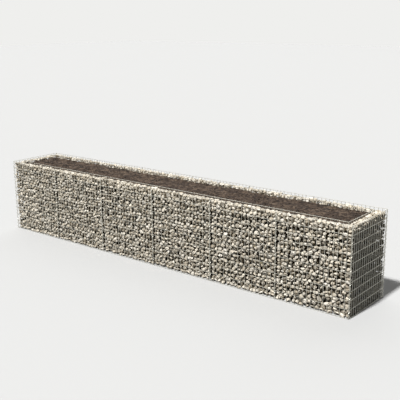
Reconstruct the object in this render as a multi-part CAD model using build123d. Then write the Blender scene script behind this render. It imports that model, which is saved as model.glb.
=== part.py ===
"""A long gabion planter: two baskets of welded wire mesh, one inside the other, with stones
packed between them and soil in the inner one.

Millimetres. X runs along the planter, the long front faces -Y, and Z is up from the ground.
The origin is on the ground at the middle of the planter.
"""

import math
import os

from build123d import *

# The planter, measured between the centres of its upright wires
bay_length = 900
bay_count = 6
depth = 800
height = 1000
stone_wall = 100

# Welded mesh
mesh_wire = 5.0
cell_width = 50
cell_height = 100
wire_sides = 8
weld_sink = 0.4
panel_gap = 1.0

# Spiral binders that lace the panels together
spiral_wire = 3.5
spiral_play = 0.85
turns_per_cell = 2
runs_per_turn = 8
spiral_top_gap = 4.0

# Ties that hold the two baskets together through the stones
tie_wire = 4.0
tie_drop = 16
tie_bend_runs = 2
ties_across_bay = 2
ties_across_end = 2
tie_rows = 2

# Fillings
stones_below_rim = 8
soil_below_rim = 45

# Room left between pieces that lie against each other
clearance = 0.3

# Spirals and ties have few sides, and so have the holes around them
bent_wire_sides = 4
hole_sides = 8

length = bay_length * bay_count
inner_depth = depth - 2 * stone_wall
end_bay_length = bay_length - stone_wall

# Across the mesh: how far the cross wires stand out, and the end panels beyond the last front wire
cross_offset = mesh_wire - weld_sink
end_offset = (mesh_wire - panel_gap) / 2 + clearance
mesh_front = cross_offset + mesh_wire / 2

# Up the mesh: the cross wires of every panel are level with each other
row_count = round(height / cell_height)
row_height = (height - mesh_wire) / row_count

# The coil goes round the wires of both panels at a corner, which is the widest bundle
spiral_radius = end_offset + mesh_front + spiral_play + spiral_wire / 2
spiral_pitch = row_height / turns_per_cell
spiral_groove = spiral_radius + spiral_wire / 2 + clearance
spiral_lead = math.atan(spiral_pitch / (2 * math.pi * spiral_radius))

# The tie's bend follows the cross wire that it hooks over
tie_bend = (mesh_wire + tie_wire) / 2 + clearance
tie_behind_mesh = tie_bend + tie_wire / 2 - cross_offset

# Faces of the fillings, measured from the centres of the upright wires beside them
behind_outer_mesh = mesh_wire / 2 + clearance
before_inner_mesh = mesh_front + clearance
behind_inner_mesh = max(mesh_wire / 2, tie_behind_mesh) + clearance


def cell_count(width):
    """Cells across a panel of this width."""
    return round(width / cell_width)


def cell_pitch(width):
    """Spacing of a panel's upright wires, centre to centre."""
    return (width - panel_gap - mesh_wire) / cell_count(width)


def row_z(row):
    """Height of a cross wire's centre, from row 0 at the ground."""
    return mesh_wire / 2 + row * row_height


seat_z = row_z(0) + ((mesh_wire + spiral_wire) / 2 + clearance) / math.cos(spiral_lead)


def straight_wire(span):
    """A wire along +Z from the origin. Corners of its section face along X and Y."""
    return extrude(RegularPolygon(mesh_wire / 2, wire_sides, rotation=90), span)


def mesh_panel(width):
    """A welded panel that stands on the ground, centred on X, with its cross wires on its -Y side."""
    span = width - panel_gap
    pitch = cell_pitch(width)
    upright = straight_wire(height)
    cross_wire = Rot(0, 90, 0) * straight_wire(span)
    first = (mesh_wire - span) / 2
    wires = [Pos(first + i * pitch, 0, 0) * upright for i in range(cell_count(width) + 1)]
    wires += [Pos(-span / 2, -cross_offset, row_z(row)) * cross_wire for row in range(row_count + 1)]
    return wires[0].fuse(*wires[1:])


def bent_wire(points, diameter):
    """A wire in straight runs between these points, mitred where they meet."""
    path = Polyline(*points)
    section = Plane(path @ 0, z_dir=path % 0) * RegularPolygon(diameter / 2, bent_wire_sides)
    return sweep(section, path, transition=Transition.RIGHT)


def coil():
    """A right-handed coil up from the ground plane, whose first corner is on the X axis."""
    rise = spiral_pitch / runs_per_turn
    run_count = int((height - spiral_top_gap - seat_z) / rise)
    turns = [2 * math.pi * run / runs_per_turn for run in range(run_count + 1)]
    return bent_wire(
        [(spiral_radius * math.cos(t), spiral_radius * math.sin(t), rise * i) for i, t in enumerate(turns)],
        spiral_wire,
    )


def spiral_place(x, y, outside, cross_distance):
    """Where a coil goes on a joint at (x, y), to rest on cross wires where it comes out of the mesh.

    outside is the direction, in degrees, that the panel it rests on faces, and cross_distance
    is how far outside the joint that panel's cross wires lie.
    """
    seat_angle = outside - 90 + math.degrees(math.asin(cross_distance / spiral_radius))
    return Pos(x, y, seat_z) * Rot(0, 0, seat_angle)


def tie():
    """A tie along Y at the height of its straight run, hooked down at both ends.

    Each bend is runs that touch an arc around the cross wire that the tie hooks over.
    """
    step = math.pi / 2 / tie_bend_runs
    corner = tie_bend / math.cos(step / 2)
    angles = [step * (i + 0.5) for i in range(tie_bend_runs)]
    hook = [(stone_wall / 2 + corner * math.sin(a), corner * math.cos(a) - tie_bend) for a in angles]
    hook.append((stone_wall / 2 + tie_bend, -tie_drop))
    points = [(0, -y, z) for y, z in reversed(hook)] + [(0, y, z) for y, z in hook]
    return bent_wire(points, tie_wire)


def round_hole(radius, depth):
    """A many-sided prism along Z, centred on the origin, that clears a round of this radius."""
    return extrude(RegularPolygon(radius, hole_sides, major_radius=False), depth / 2, both=True)


def spread(count, total):
    """Numbers of the cells or rows, out of a total, that share it evenly."""
    return [round(total * (i + 1) / (count + 1)) for i in range(count)]


def tie_spots(width, count):
    """Where ties stand across a panel of this width: the middles of evenly shared cells."""
    first = (mesh_wire + panel_gap - width) / 2
    return [first + (cell + 0.5) * cell_pitch(width) for cell in spread(count, cell_count(width) - 1)]


def across_wall(place):
    """Moves a tie from the origin to its places in the wall behind the panel at this place."""
    lift = (mesh_wire + tie_wire) / 2 + clearance
    middle = stone_wall / 2 - cross_offset
    return [place * Pos(0, middle, row_z(row) + lift) for row in spread(tie_rows, row_count)]


def block(low_x, high_x, low_y, high_y, top):
    """A block on the ground between these faces."""
    low, high = Vector(low_x, low_y, 0), Vector(high_x, high_y, top)
    return Pos((low + high) / 2) * Box(*(high - low))


def write(name, solids):
    """Writes a node, which holds one solid or several that don't touch."""
    shape = solids[0] if len(solids) == 1 else Compound(solids)
    export_step(shape, f"parts/{name}.step", write_pcurves=False)


# Places of the panels, with each panel's cross wires facing out of its basket
facing_front, facing_right, facing_back, facing_left = (Rot(0, 0, turn) for turn in (0, 90, 180, 270))
bay_middles = [(bay + 0.5) * bay_length - length / 2 for bay in range(bay_count)]
joints = [bay * bay_length - length / 2 for bay in range(1, bay_count)]
end_plane = length / 2 + end_offset
inner_end_plane = end_plane - stone_wall
inner_face = depth / 2 - stone_wall

# Bays of the inner basket, which is shorter by a stone wall at each end
inner_lengths = [bay_length] * bay_count
inner_lengths[0] -= stone_wall
inner_lengths[-1] -= stone_wall
inner_middles = list(bay_middles)
inner_middles[0] += stone_wall / 2
inner_middles[-1] -= stone_wall / 2

# Mesh panels
bay_panel = mesh_panel(bay_length)
short_panel = mesh_panel(end_bay_length)
end_panel = mesh_panel(depth)
inner_end_panel = mesh_panel(inner_depth)

nodes = {}
for bay, x in enumerate(bay_middles, 1):
    nodes[f"front_mesh_{bay}"] = [Pos(x, -depth / 2, 0) * facing_front * bay_panel]
    nodes[f"back_mesh_{bay}"] = [Pos(x, depth / 2, 0) * facing_back * bay_panel]
nodes["left_end_mesh"] = [Pos(-end_plane, 0, 0) * facing_left * end_panel]
nodes["right_end_mesh"] = [Pos(end_plane, 0, 0) * facing_right * end_panel]

for bay, (x, width) in enumerate(zip(inner_middles, inner_lengths), 1):
    panel = bay_panel if width == bay_length else short_panel
    nodes[f"inner_front_mesh_{bay}"] = [Pos(x, -inner_face, 0) * facing_front * panel]
    nodes[f"inner_back_mesh_{bay}"] = [Pos(x, inner_face, 0) * facing_back * panel]
nodes["inner_left_mesh"] = [Pos(-inner_end_plane, 0, 0) * facing_left * inner_end_panel]
nodes["inner_right_mesh"] = [Pos(inner_end_plane, 0, 0) * facing_right * inner_end_panel]

# Spirals along the bay joints and up the corners of each basket
one_coil = coil()
corner_reach = cross_offset + end_offset
grooves = []
for name, face, corner_x in (("", depth / 2, length / 2), ("inner_", inner_face, length / 2 - stone_wall)):
    places = {
        "front": [spiral_place(x, -face, 270, cross_offset) for x in joints],
        "back": [spiral_place(x, face, 90, cross_offset) for x in joints],
        "corner": [
            spiral_place(corner_x, -face, 270, cross_offset),
            spiral_place(corner_x, face, 0, corner_reach),
            spiral_place(-corner_x, face, 90, cross_offset),
            spiral_place(-corner_x, -face, 180, corner_reach),
        ],
    }
    for side, side_places in places.items():
        nodes[f"{name}{side}_spirals"] = [place * one_coil for place in side_places]
    spots = [(x, y) for x in (*joints, -corner_x, corner_x) for y in (-face, face)]
    grooves += [Pos(x, y, height / 2) * round_hole(spiral_groove, height) for x, y in spots]

# Ties, and the holes that they keep through the stones
front_places, back_places = [], []
for x in bay_middles:
    for spot in tie_spots(bay_length, ties_across_bay):
        front_places += across_wall(Pos(x + spot, -depth / 2, 0) * facing_front)
        back_places += across_wall(Pos(x - spot, depth / 2, 0) * facing_back)
end_places = []
for spot in tie_spots(depth, ties_across_end):
    end_places += across_wall(Pos(end_plane, spot, 0) * facing_right)
    end_places += across_wall(Pos(-end_plane, -spot, 0) * facing_left)
one_tie = tie()
nodes["front_ties"] = [place * one_tie for place in front_places]
nodes["back_ties"] = [place * one_tie for place in back_places]
nodes["end_ties"] = [place * one_tie for place in end_places]
tie_hole = Rot(90, 0, 0) * round_hole(tie_wire / 2 + clearance, stone_wall)
tie_holes = [place * tie_hole for place in front_places + back_places + end_places]

# Stones between the baskets, and soil in the inner one
stones_top = height - stones_below_rim
stones_out = depth / 2 - behind_outer_mesh
stones_in = inner_face + before_inner_mesh
stones_end = end_plane - behind_outer_mesh
end_stones_in = inner_end_plane + before_inner_mesh
stone_blocks = {
    "front_stones": block(-stones_end, stones_end, -stones_out, -stones_in, stones_top),
    "back_stones": block(-stones_end, stones_end, stones_in, stones_out, stones_top),
    "left_stones": block(-stones_end, -end_stones_in, -stones_in, stones_in, stones_top),
    "right_stones": block(end_stones_in, stones_end, -stones_in, stones_in, stones_top),
}
for name, stones in stone_blocks.items():
    nodes[name] = [stones.cut(*grooves, *tie_holes)]

soil_end = inner_end_plane - behind_inner_mesh
soil_side = inner_face - behind_inner_mesh
soil = block(-soil_end, soil_end, -soil_side, soil_side, height - soil_below_rim)
nodes["soil"] = [soil.cut(*grooves)]

os.makedirs("parts", exist_ok=True)
for name, solids in nodes.items():
    write(name, solids)
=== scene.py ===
"""Looks of a long gabion planter: stones between two baskets of galvanised mesh, and soil inside.

Metres. X runs along the planter, the long front faces -Y, and Z is up from the ground.
"""

import math

import bpy
import numpy as np
from mathutils import Matrix, Vector


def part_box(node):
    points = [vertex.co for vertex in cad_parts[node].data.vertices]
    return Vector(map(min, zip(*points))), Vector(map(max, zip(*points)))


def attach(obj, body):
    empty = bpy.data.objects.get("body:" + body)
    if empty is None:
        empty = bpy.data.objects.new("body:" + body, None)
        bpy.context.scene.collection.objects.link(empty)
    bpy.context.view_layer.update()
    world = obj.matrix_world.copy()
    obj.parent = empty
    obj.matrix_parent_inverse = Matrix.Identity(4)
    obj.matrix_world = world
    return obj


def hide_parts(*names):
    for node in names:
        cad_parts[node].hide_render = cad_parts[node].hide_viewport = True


MM = 0.001
BAYS = 6

# Room that each stone takes along the wall, across it and upwards, and the gap between two
STONE_ROOM = np.array((58, 46, 40)) * MM
STONE_GAP = 9.0 * MM
# Lengths of a stone as shares of its room
STONE_LENGTHS = ((0.80, 1.60), (1.05, 1.45), (0.62, 1.35))
# Bulk: a stone grows by this power of it, and the planes between stones lie nearer to the less bulky
STONE_BULK = (0.55, 1.6)
BULK_POWER = 0.4
# In rooms: how far middles stray, how far rows are moved along the wall, by turns one way and the
# other, how far from its ends that takes to build up, and how near its faces a middle may come
STONE_SHIFT = (0.32, 0.14, 0.30)
STONE_STAGGER = 0.25
STAGGER_RUN = 2
END_MARGIN = 0.3
# A middle this far away stands for no neighbour
NO_NEIGHBOUR = 10.0
# Most turn off the wall's line, number of flat faces and how far from the middle they are, in radii,
# and stretch of the outermost stones
STONE_TURN = math.radians(50)
STONE_FACETS = 12
STONE_CHIP = (0.48, 0.80)
STONE_STRETCH = (0.6, 1.5)
# Stones of the top rows and the edges are larger, and those behind the outer layer smaller
PACKED_GROWTH = 1.35
PACKED_ROWS = 2
HIDDEN_GROWTH = 0.8
# Cells along each edge of the cube that a stone starts from, and top rows that are seen from above
SEEN_CELLS = 3
HIDDEN_CELLS = 2
SEEN_RIM_ROWS = 3
# Spread of the tones, as a beta distribution
STONE_TONES = (1.9, 1.6)
STONE_SEED = 41

# Greys and buffs of the stones, darkest to lightest: dry outside, and darker deep in the wall as painted
# shade for the gaps between the outer stones
LIMESTONE_STOPS = (0.0, 0.5, 1.0)
LIMESTONE = {
    "dry_limestone": (("#978f81", "#c5beb0", "#e2dcd1"), ("#948874", "#c6bba8", "#e4dbca")),
    # Painted shade: the stones behind the outer layer are darkened to stand for the shade in the gaps
    "painted_shade_limestone": (("#504a3d", "#686150", "#7a735f"), ("#4e4638", "#695f4c", "#7b715b")),
}

# Room around the axis of each coil, and the least distance from it that a point is taken to have
COIL_ROOM = 15 * MM
ON_AXIS = 0.1 * MM
# Room that the stones leave on each side of a bay joint, and that a middle keeps beyond it
JOINT_ROOM = (6 * MM, 19 * MM)
JOINT_STONE = 14 * MM

# How far stones may stay back from the outer mesh, less at its edges, and below the top of the wall,
# and how far they stay above the ground
FACE_UNEVENNESS = 20 * MM
EDGE_UNEVENNESS = 5 * MM
RIM_UNEVENNESS = 12 * MM
BASE_CLEARANCE = 0.5 * MM

# Soil: the cell of its grid, and wavelengths and heights of its relief
SOIL_CELL = 12 * MM
SOIL_RELIEF = ((240 * MM, 9 * MM), (70 * MM, 6 * MM), (24 * MM, 4 * MM))
SOIL_SEED = 7
# Crumbs: radii before they are chipped, most of them small, and cells kept free along the edges
CRUMB_COUNT = 1000
CRUMB_CELLS = 2
CRUMB_RADII = (5 * MM, 17 * MM)
CRUMB_SPREAD = (1.2, 3.5)
CRUMB_STRETCH = (0.7, 1.1)
CRUMB_MARGIN = 2

# The view, fitted to the planter's corners and joints, and how far it reaches
VIEW_FROM = (5.765, -6.612, 3.023)
VIEW_AZIMUTH = math.radians(-38.85)
VIEW_DOWN = math.radians(14.50)
VIEW_ROLL = math.radians(-0.41)
VIEW_FOCAL_PX = 712.9
IMAGE_WIDTH_PX = 400
SENSOR_MM = 36
VIEW_REACH = 200

# Light and floor
KEY_STRENGTH = 5.9
KEY_SOFTNESS = math.radians(4)
KEY_FROM_TOP = math.radians(30)
KEY_FROM_FRONT = math.radians(-4)
BACK_STRENGTH = 1.3
BACK_SOFTNESS = math.radians(70)
BACK_FROM_TOP = math.radians(55)
BACK_FROM_FRONT = math.radians(-143)
FILL_STRENGTH = 0.06
FLOOR_REACH = 60
FLOOR_SEEN = "#b3b3b2"
FLOOR_BOUNCE = "#373735"
BACKGROUND = "#efefed"

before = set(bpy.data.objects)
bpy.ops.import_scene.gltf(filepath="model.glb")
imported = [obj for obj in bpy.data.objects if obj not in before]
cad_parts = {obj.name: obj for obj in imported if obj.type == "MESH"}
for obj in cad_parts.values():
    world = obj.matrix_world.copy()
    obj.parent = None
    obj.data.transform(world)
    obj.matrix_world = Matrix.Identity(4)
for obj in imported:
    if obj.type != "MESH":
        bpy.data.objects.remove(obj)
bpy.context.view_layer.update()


def srgb(code):
    """A hex sRGB colour as linear RGBA."""
    values = [int(code[i:i + 2], 16) / 255 for i in (1, 3, 5)]
    return [v / 12.92 if v <= 0.04045 else ((v + 0.055) / 1.055) ** 2.4 for v in values] + [1]


def add(tree, kind, settings=None, **links):
    """Adds a node with its settings, and links or sets its inputs by name or number."""
    node = tree.nodes.new("ShaderNode" + kind)
    for name, value in (settings or {}).items():
        setattr(node, name, value)
    for name, value in links.items():
        socket = node.inputs[int(name[1:]) if name[1:].isdigit() else name.replace("_", " ")]
        if isinstance(value, bpy.types.NodeSocket):
            tree.links.new(value, socket)
        else:
            socket.default_value = value
    return node


def ramp(tree, factor, stops):
    """Colours by place from 0 to 1 along a ramp."""
    node = add(tree, "ValToRGB", Fac=factor)
    elements = node.color_ramp.elements
    while len(elements) < len(stops):
        elements.new(0.5)
    for element, (place, code) in zip(elements, stops):
        element.position = place
        element.color = srgb(code)
    return node.outputs["Color"]


def material(name):
    """A material with its shader and its Object coordinates."""
    made = bpy.data.materials.new(name)
    made.use_nodes = True
    tree = made.node_tree
    shader = tree.nodes["Principled BSDF"]
    place = tree.nodes.new("ShaderNodeTexCoord").outputs["Object"]
    return made, tree, shader, place


def broken_stone(name):
    """Broken limestone: dull, warm grey, each stone a little lighter or darker than the next.

    Dry stones are pale. Those behind them are darker, as painted shade in the gaps between the outer
    stones.
    """
    made, tree, shader, place = material(name)
    shader.inputs["Roughness"].default_value = 0.95
    shader.inputs["Specular IOR Level"].default_value = 0.05
    tone = add(tree, "Attribute", {"attribute_name": "stone_tone"}).outputs["Fac"]
    warmth = add(tree, "Attribute", {"attribute_name": "stone_warmth"}).outputs["Fac"]
    # Cloudy patches about 20 mm across, and grit of about 1.5 mm drawn at 3 mm so that it shows
    patches = add(tree, "TexNoise", Vector=place, Scale=1 / (20 * MM), Detail=3.0)
    grit = add(tree, "TexNoise", Vector=place, Scale=1 / (3 * MM), Detail=2.0)
    patchy = add(tree, "MapRange", Value=patches.outputs["Fac"], From_Min=0.3, From_Max=0.7,
                 To_Min=-0.12, To_Max=0.12)
    gritty = add(tree, "MapRange", Value=grit.outputs["Fac"], From_Min=0.3, From_Max=0.7,
                 To_Min=-0.08, To_Max=0.08)
    mottled = add(tree, "Math", {"operation": "ADD"}, _0=tone, _1=patchy.outputs["Result"])
    mottled = add(tree, "Math", {"operation": "ADD"}, _0=mottled.outputs[0], _1=gritty.outputs["Result"])
    grey, buff = (ramp(tree, mottled.outputs[0], tuple(zip(LIMESTONE_STOPS, codes)))
                  for codes in LIMESTONE[name])
    colour = add(tree, "Mix", {"data_type": "RGBA"}, _0=warmth, _6=grey, _7=buff)
    tree.links.new(colour.outputs[2], shader.inputs["Base Color"])
    rough = add(tree, "Bump", Strength=0.5, Distance=1.2 * MM, Height=grit.outputs["Fac"])
    tree.links.new(rough.outputs["Normal"], shader.inputs["Normal"])
    return made


def galvanised_wire():
    """Hot-dip galvanised wire: weathered to a dull light grey, with a warm tint that is a painted
    reflection of warm surroundings, and faint clouding.
    """
    made, tree, shader, place = material("galvanised_wire")
    shader.inputs["Metallic"].default_value = 1.0
    clouds = add(tree, "TexNoise", Vector=place, Scale=1 / (14 * MM), Detail=3.0)
    # Dull grey of weathered zinc, tinted warm as a painted reflection of warm surroundings
    colour = ramp(tree, clouds.outputs["Fac"], ((0.3, "#aeaca3"), (0.7, "#cac8be")))
    tree.links.new(colour, shader.inputs["Base Color"])
    dull = add(tree, "MapRange", Value=clouds.outputs["Fac"], From_Min=0.3, From_Max=0.7,
               To_Min=0.38, To_Max=0.55)
    tree.links.new(dull.outputs["Result"], shader.inputs["Roughness"])
    return made


def garden_soil():
    """Loose garden soil: dark brown and crumbly, with drier and damper patches and crumbs of each tone."""
    made, tree, shader, place = material("garden_soil")
    shader.inputs["Roughness"].default_value = 0.95
    shader.inputs["Specular IOR Level"].default_value = 0.15
    # Patches about 90 mm across, and crumbs of 22 mm, each of its own tone
    patches = add(tree, "TexNoise", Vector=place, Scale=1 / (90 * MM), Detail=5.0)
    crumbs = add(tree, "TexVoronoi", Vector=place, Scale=1 / (22 * MM))
    own_tone = add(tree, "SeparateColor", Color=crumbs.outputs["Color"])
    own_tone = add(tree, "MapRange", Value=own_tone.outputs[0], To_Min=-0.22, To_Max=0.22)
    mottled = add(tree, "Math", {"operation": "ADD"}, _0=patches.outputs["Fac"],
                  _1=own_tone.outputs["Result"])
    colour = ramp(tree, mottled.outputs[0],
                  ((0.25, "#1f1914"), (0.5, "#362c25"), (0.75, "#594c40")))
    tree.links.new(colour, shader.inputs["Base Color"])
    rough = add(tree, "Bump", Strength=0.8, Distance=5 * MM, Height=crumbs.outputs["Distance"])
    tree.links.new(rough.outputs["Normal"], shader.inputs["Normal"])
    return made


def grid_quads(numbers):
    """Quads between the points whose numbers stand on a grid, each going round its four neighbours."""
    corners = (numbers[:-1, :-1], numbers[1:, :-1], numbers[1:, 1:], numbers[:-1, 1:])
    return np.stack(corners, -1).reshape(-1, 4)


def rounded_cube(cells):
    """Points and quads of a unit sphere laid out as a cube with this many cells along each edge.

    Each point of the cube's surface, at (a, b, c) between -1 and 1, is divided by its length.
    """
    line = np.linspace(-1, 1, cells + 1)
    lattice = np.stack(np.meshgrid(line, line, line, indexing="ij"), -1)
    numbers = np.full(lattice.shape[:3], -1)
    skin = np.abs(lattice).max(-1) == 1
    numbers[skin] = np.arange(skin.sum())
    quads = []
    for axis in range(3):
        for side in (0, cells):
            sheet = np.take(numbers, side, axis)
            squares = grid_quads(sheet)
            outwards = (side > 0) ^ (axis == 1)
            quads.append(squares if outwards else squares[:, ::-1])
    points = lattice[skin]
    return points / np.linalg.norm(points, axis=1, keepdims=True), np.concatenate(quads)


def unit_vectors(rng, shape):
    """Random directions."""
    v = rng.normal(size=(*shape, 3))
    return v / np.linalg.norm(v, axis=-1, keepdims=True)


def chipped(rng, points, count):
    """Each stone's own copy of the unit points, cut flat by random planes.

    A point p beyond a plane of normal n, h away from the middle, moves back to p - (p.n - h) n.
    """
    shapes = np.repeat(points[None], count, 0)
    for _ in range(STONE_FACETS):
        normal = unit_vectors(rng, (count, 1))
        reach = rng.uniform(*STONE_CHIP, (count, 1))
        beyond = np.maximum(0, (shapes * normal).sum(-1) - reach)
        shapes = shapes - beyond[..., None] * normal
    return shapes


def turned(rng, shapes, spread):
    """Shapes turned about random axes by up to the spread, and about their long axis by any angle.

    Rodrigues' formula turns p by t about the axis k: p cos t + (k x p) sin t + k (k.p)(1 - cos t).
    """
    count = len(shapes)
    for axis, angle in (
        (np.tile((1.0, 0.0, 0.0), (count, 1)), rng.uniform(-math.pi, math.pi, count)),
        (unit_vectors(rng, (count,)), rng.uniform(-spread, spread, count)),
    ):
        k, t = axis[:, None], angle[:, None, None]
        along = (shapes * k).sum(-1, keepdims=True)
        shapes = shapes * np.cos(t) + np.cross(k, shapes) * np.sin(t) + k * along * (1 - np.cos(t))
    return shapes


def stone_places(rng, size, joints):
    """Middles and bulks of the stones in a box, and the planes that part each from its neighbours.

    Middles stand on a shifted lattice, with every other row moved by half a stone. The plane between
    two stones is square to the line between their middles, and nearer to the smaller one. Below the
    rim, two more planes keep each joint between bays open, and middles stay back from them.
    """
    counts = np.maximum(1, np.round(size / STONE_ROOM)).astype(int)
    room = size / counts
    lattice = np.stack(np.meshgrid(*(np.arange(n) for n in counts), indexing="ij"), -1)
    bulk = rng.uniform(*STONE_BULK, lattice.shape[:3])
    centres = lattice + 0.5 + rng.uniform(-1, 1, lattice.shape) * STONE_SHIFT
    side = (lattice[..., 2] + lattice[..., 1]) % 2 * 2 - 1
    from_end = np.minimum(lattice[..., 0], counts[0] - 1 - lattice[..., 0])
    centres[..., 0] += side * STONE_STAGGER * np.minimum(1, from_end / STAGGER_RUN)
    centres = np.clip(centres, END_MARGIN, counts - END_MARGIN) * room
    below_rim = lattice[..., 2] < counts[2] - PACKED_ROWS
    for joint in joints:
        apart = centres[..., 0] - joint
        held_off = np.copysign(np.maximum(np.abs(apart), JOINT_ROOM[1] + JOINT_STONE), apart)
        centres[..., 0] = joint + np.where(below_rim, held_off, apart)

    neighbours = np.pad(centres, ((1, 1),) * 3 + ((0, 0),), constant_values=NO_NEIGHBOUR)
    their_bulk = np.pad(bulk, 1, constant_values=1)
    normals, reaches = [], []
    for step in np.ndindex(3, 3, 3):
        if step == (1, 1, 1):
            continue
        window = tuple(slice(s, s + n) for s, n in zip(step, counts))
        apart = (neighbours[window] - centres).reshape(-1, 3)
        distance = np.linalg.norm(apart, axis=1)
        share = (bulk / (bulk + their_bulk[window])).reshape(-1)
        normals.append(apart / distance[:, None])
        reaches.append(distance * share - STONE_GAP / 2)
    for joint in joints:
        apart = (joint - centres[..., 0]).reshape(-1)
        normals.append(np.sign(apart)[:, None] * (1.0, 0.0, 0.0))
        kept_free = rng.uniform(*JOINT_ROOM, apart.shape)
        reaches.append(np.where(below_rim.reshape(-1), np.abs(apart) - kept_free, size[0]))
    return (centres.reshape(-1, 3), bulk.reshape(-1), np.stack(normals, 1), np.stack(reaches, 1),
            lattice.reshape(-1, 3), counts, room)


def cut_stones(rng, points, room, centres, growth, normals, reaches):
    """Stones at their places: chipped, turned ellipsoids, each cut back to its parting planes."""
    count = len(centres)
    halves = np.stack([rng.uniform(*share, count) for share in STONE_LENGTHS], -1) * room / 2
    shapes = chipped(rng, points, count) * halves[:, None] * growth[:, None, None]
    shapes = turned(rng, shapes, STONE_TURN)
    for normal, reach in zip(normals.swapaxes(0, 1), reaches.T):
        beyond = np.maximum(0, (shapes * normal[:, None]).sum(-1) - reach[:, None])
        shapes = shapes - beyond[..., None] * normal[:, None]
    return centres[:, None] + shapes


def fitted(rng, solids, places, at_edge, counts, size):
    """Stretches or squashes the outermost stones so that each reaches its face of the box, or nearly."""
    for axis in range(3):
        for last in (0, 1):
            outermost = places[:, axis] == (counts[axis] - 1) * last
            stones = solids[outermost]
            lows, highs = stones[..., axis].min(1), stones[..., axis].max(1)
            kept, moved = (lows, highs) if last else (highs, lows)
            short = rng.uniform(0, 1, len(stones))
            if (axis, last) == (1, 0):
                short *= np.where(at_edge[outermost], EDGE_UNEVENNESS, FACE_UNEVENNESS)
            else:
                short *= RIM_UNEVENNESS if (axis, last) == (2, 1) else 0
            wanted = size[axis] - short if last else short
            ratio = np.clip((wanted - kept) / (moved - kept), *STONE_STRETCH)
            stones[..., axis] = kept[:, None] + (stones[..., axis] - kept[:, None]) * ratio[:, None]
            solids[outermost] = stones
    return np.clip(solids, 0, size)


def coil_axes():
    """Where the upright coils stand in x and y: between the panels that they join, and at the corners."""
    axes = []
    for basket in ("", "inner_"):
        for side in ("front", "back"):
            panels = [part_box(f"{basket}{side}_mesh_{bay + 1}") for bay in range(BAYS)]
            y = sum(corner[1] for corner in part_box(f"{basket}{side}_spirals")) / 2
            sides = [x for low, high in panels for x in (low[0], high[0])]
            ends = [sides[0], *sides, sides[-1]]
            axes += [((a + b) / 2, y) for a, b in zip(ends[::2], ends[1::2])]
    return np.array(axes)


def bay_joints():
    """Places along X where the panels of neighbouring bays meet."""
    panels = [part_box(f"front_mesh_{bay + 1}") for bay in range(BAYS)]
    return np.array([(left[1][0] + right[0][0]) / 2 for left, right in zip(panels, panels[1:])])


def clear_of_coils(points):
    """Moves points that are nearer to a coil's axis than its room out to that distance, level by level."""
    for axis in coil_axes():
        away = points[..., :2] - axis
        distance = np.maximum(np.linalg.norm(away, axis=-1, keepdims=True), ON_AXIS)
        points[..., :2] = axis + away * np.maximum(1, COIL_ROOM / distance)
    return points


def mesh_piece(name, points, faces, look):
    """A piece at the origin from arrays of points and faces, riding on the planter."""
    mesh = bpy.data.meshes.new(name)
    mesh.vertices.add(len(points))
    mesh.vertices.foreach_set("co", points.astype(np.float32).ravel())
    mesh.loops.add(faces.size)
    mesh.loops.foreach_set("vertex_index", faces.astype(np.int32).ravel())
    mesh.polygons.add(len(faces))
    mesh.polygons.foreach_set("loop_start", np.arange(0, faces.size, faces.shape[1], dtype=np.int32))
    mesh.update(calc_edges=True)
    mesh.validate()
    mesh.shade_flat()
    mesh.materials.append(look)
    piece = bpy.data.objects.new(name, mesh)
    bpy.context.scene.collection.objects.link(piece)
    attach(piece, "root")
    return piece


def tones(piece, per_point, **values):
    """Gives each point of a piece the value of the stone that it belongs to."""
    for name, value in values.items():
        attribute = piece.data.attributes.new(name, "FLOAT", "POINT")
        attribute.data.foreach_set("value", np.repeat(value, per_point).astype(np.float32))


def stone_wall(node, rng, along, outward, looks, splits):
    """Stones that stand for one wall's solid, in as many pieces as splits.

    along is the axis that the wall runs on, and outward the side that its outer mesh is on. Stones
    of the outer layer and the rim are finer than those that only show through gaps. The first look
    is theirs, and the second, darker as painted shade, is for those behind.
    """
    low, high = (np.array(corner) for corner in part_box(node))
    low[2] += BASE_CLEARANCE
    across = 1 - along
    size = (high - low)[[along, across, 2]]
    joints = bay_joints() - low[0] if along == 0 else ()
    centres, bulk, normals, reaches, places, counts, room = stone_places(rng, size, joints)
    seen = (places[:, 1] == 0) | (places[:, 2] >= counts[2] - SEEN_RIM_ROWS)
    at_edge = (places[:, 0] == 0) | (places[:, 0] == counts[0] - 1) | (places[:, 2] == 0)
    packed = (places[:, 2] >= counts[2] - PACKED_ROWS) | at_edge
    growth = bulk ** BULK_POWER * np.where(packed, PACKED_GROWTH, 1) * np.where(seen, 1, HIDDEN_GROWTH)
    share = places[:, 0] * splits // counts[0]
    mirrored = (along == 1) ^ (outward > 0)
    # Stones behind the outer layer take the second, darker look, which is painted shade
    layers = ("", seen, SEEN_CELLS), ("_behind", ~seen, HIDDEN_CELLS)
    for (layer, mine, cells), look in zip(layers, looks):
        points, quads = rounded_cube(cells)
        solids = cut_stones(rng, points, room, centres[mine], growth[mine], normals[mine],
                            reaches[mine])
        solids = fitted(rng, solids, places[mine], at_edge[mine], counts, size)

        world = np.empty_like(solids)
        world[..., along] = low[along] + solids[..., 0]
        if outward > 0:
            world[..., across] = high[across] - solids[..., 1]
        else:
            world[..., across] = low[across] + solids[..., 1]
        world[..., 2] = low[2] + solids[..., 2]
        world = clear_of_coils(world)
        faces = quads[:, ::-1] if mirrored else quads
        tone = rng.beta(*STONE_TONES, len(solids))
        warmth = rng.uniform(0, 1, len(solids))
        for part in range(splits):
            chosen = share[mine] == part
            stones = world[chosen]
            per_stone = stones.shape[1]
            offsets = np.arange(len(stones))[:, None, None] * per_stone
            piece = mesh_piece(f"{node}{layer}_{part + 1}", stones.reshape(-1, 3),
                               (faces[None] + offsets).reshape(-1, 4), look)
            tones(piece, per_stone, stone_tone=tone[chosen], stone_warmth=warmth[chosen])
            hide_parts(node)


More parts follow.
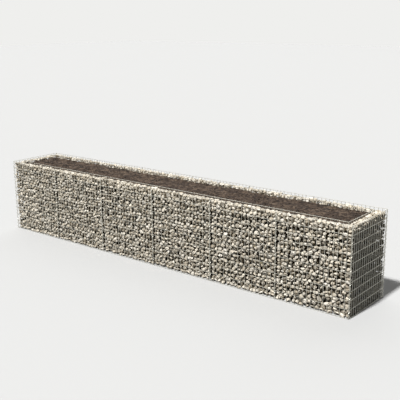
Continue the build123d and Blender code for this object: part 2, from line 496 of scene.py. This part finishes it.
def smooth_noise(rng, shape, wave, cell):
    """Values from -1 to 1 on a grid: random numbers a wave apart, eased between by 3t^2 - 2t^3."""
    spots = [np.arange(n) * cell / wave for n in shape]
    knots = rng.uniform(-1, 1, [int(s[-1]) + 2 for s in spots])
    (i, j), (t, s) = zip(*((spot.astype(int), spot % 1) for spot in spots))
    t, s = (v * v * (3 - 2 * v) for v in (t, s))
    i, j, t, s = i[:, None], j[None], t[:, None], s[None]
    near = knots[i, j] * (1 - t) + knots[i + 1, j] * t
    far = knots[i, j + 1] * (1 - t) + knots[i + 1, j + 1] * t
    return near * (1 - s) + far * s


def soil_bed(look):
    """Soil in the inner basket: a grid raised by noise of three wavelengths, with sides and a base.

    Crumbs lie half sunk in it.
    """
    rng = np.random.default_rng(SOIL_SEED)
    low, high = (np.array(corner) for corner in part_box("soil"))
    counts = np.ceil((high - low)[:2] / SOIL_CELL).astype(int) + 1
    x = np.linspace(low[0], high[0], counts[0])
    y = np.linspace(low[1], high[1], counts[1])
    relief = sum(height * smooth_noise(rng, counts, wave, SOIL_CELL)
                 for wave, height in SOIL_RELIEF)
    top = np.stack((*np.meshgrid(x, y, indexing="ij"), high[2] + relief), -1)

    # One closed surface: the grid gets a border that drops to the base, and the base closes it
    sheet = np.pad(top, ((1, 1), (1, 1), (0, 0)), mode="edge")
    edge = np.ones(sheet.shape[:2], bool)
    edge[1:-1, 1:-1] = False
    sheet[edge, 2] = low[2]
    points = sheet.reshape(-1, 3)
    numbers = np.arange(len(points)).reshape(edge.shape)
    quads = grid_quads(numbers)
    corners = np.array([[numbers[0, 0], numbers[0, -1], numbers[-1, -1], numbers[-1, 0]]])
    piece = mesh_piece("soil_bed", points, np.concatenate((quads, corners)), look)
    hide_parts("soil")

    spots = np.stack([rng.integers(CRUMB_MARGIN, n - CRUMB_MARGIN, CRUMB_COUNT) for n in counts], -1)
    ball, faces = rounded_cube(CRUMB_CELLS)
    smallest, largest = CRUMB_RADII
    radii = smallest + (largest - smallest) * rng.beta(*CRUMB_SPREAD, CRUMB_COUNT)
    shapes = chipped(rng, ball, CRUMB_COUNT) * radii[:, None, None]
    shapes = shapes * rng.uniform(*CRUMB_STRETCH, (CRUMB_COUNT, 1, 3))
    crumbs = top[spots[:, 0], spots[:, 1]][:, None] + turned(rng, shapes, math.pi)
    offsets = np.arange(CRUMB_COUNT)[:, None, None] * len(ball)
    mesh_piece("soil_crumbs", crumbs.reshape(-1, 3), (faces[None] + offsets).reshape(-1, 4), look)


def dress_wires(look):
    """Gives every mesh panel, spiral and tie its galvanised finish."""
    for name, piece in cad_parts.items():
        if "mesh" in name or "spirals" in name or "ties" in name:
            piece.data.materials.clear()
            piece.data.materials.append(look)


def looked_at(tree):
    """1 for what the view shows, mirrored or through glass too, and 0 for all other light.

    That is the greatest of camera, glossy and transmission ray, but 0 after any diffuse bounce.
    """
    rays = add(tree, "LightPath").outputs
    shown = add(tree, "Math", {"operation": "MAXIMUM"}, _0=rays["Is Glossy Ray"],
                _1=rays["Is Transmission Ray"])
    shown = add(tree, "Math", {"operation": "MAXIMUM"}, _0=rays["Is Camera Ray"], _1=shown.outputs[0])
    direct = add(tree, "Math", {"operation": "LESS_THAN"}, _0=rays["Diffuse Depth"], _1=0.5)
    both = add(tree, "Math", {"operation": "MULTIPLY"}, _0=shown.outputs[0], _1=direct.outputs[0])
    return both.outputs[0]


def studio():
    """A pale floor and background, a high key light, a weak wide one from behind, and an even fill."""
    made, tree, shader, _ = material("pale_floor")
    shader.inputs["Roughness"].default_value = 1.0
    shader.inputs["Specular IOR Level"].default_value = 0.0
    colour = add(tree, "Mix", {"data_type": "RGBA"}, _0=looked_at(tree), _6=srgb(FLOOR_BOUNCE),
                 _7=srgb(FLOOR_SEEN))
    tree.links.new(colour.outputs[2], shader.inputs["Base Color"])
    mesh = bpy.data.meshes.new("floor")
    reach = FLOOR_REACH
    corners = [(-reach, -reach, 0), (reach, -reach, 0), (reach, reach, 0), (-reach, reach, 0)]
    mesh.from_pydata(corners, [], [(0, 1, 2, 3)])
    mesh.materials.append(made)
    floor = bpy.data.objects.new("floor", mesh)
    bpy.context.scene.collection.objects.link(floor)

    world = bpy.data.worlds.new("studio")
    bpy.context.scene.world = world
    world.use_nodes = True
    tree = world.node_tree
    tree.nodes.clear()
    strength = add(tree, "MapRange", Value=looked_at(tree), To_Min=FILL_STRENGTH, To_Max=1.0)
    light = add(tree, "Background", Color=srgb(BACKGROUND), Strength=strength.outputs["Result"])
    add(tree, "OutputWorld", Surface=light.outputs[0])

    for name, strength, softness, from_top, from_front in (
        ("key", KEY_STRENGTH, KEY_SOFTNESS, KEY_FROM_TOP, KEY_FROM_FRONT),
        ("back", BACK_STRENGTH, BACK_SOFTNESS, BACK_FROM_TOP, BACK_FROM_FRONT),
    ):
        sun = bpy.data.lights.new(name, "SUN")
        sun.energy = strength
        sun.angle = softness
        lamp = bpy.data.objects.new(name, sun)
        bpy.context.scene.collection.objects.link(lamp)
        lamp.rotation_euler = (from_top, 0, from_front)


def camera():
    """Looks along (sin a cos d, cos a cos d, -sin d) for azimuth a and angle d down, rolled about that."""
    a, d = VIEW_AZIMUTH, VIEW_DOWN
    forward = Vector((math.sin(a) * math.cos(d), math.cos(a) * math.cos(d), -math.sin(d)))
    right = forward.cross(Vector((0, 0, 1))).normalized()
    up = right.cross(forward)
    across = math.cos(VIEW_ROLL) * right + math.sin(VIEW_ROLL) * up
    upright = math.cos(VIEW_ROLL) * up - math.sin(VIEW_ROLL) * right
    lens = bpy.data.cameras.new("view")
    lens.sensor_width = SENSOR_MM
    lens.lens = VIEW_FOCAL_PX / IMAGE_WIDTH_PX * SENSOR_MM
    lens.clip_end = VIEW_REACH
    eye = bpy.data.objects.new("view", lens)
    turn = Matrix((across, upright, -forward)).transposed().to_4x4()
    eye.matrix_world = Matrix.Translation(VIEW_FROM) @ turn
    bpy.context.scene.collection.objects.link(eye)
    bpy.context.scene.camera = eye


camera()
studio()
dress_wires(galvanised_wire())
stone_looks = [broken_stone(name) for name in LIMESTONE]
stone_rng = np.random.default_rng(STONE_SEED)
stone_wall("front_stones", stone_rng, 0, -1, stone_looks, BAYS)
stone_wall("back_stones", stone_rng, 0, 1, stone_looks, BAYS)
stone_wall("left_stones", stone_rng, 1, -1, stone_looks, 1)
stone_wall("right_stones", stone_rng, 1, 1, stone_looks, 1)
soil_bed(garden_soil())

bpy.context.scene.view_settings.view_transform = "Standard"
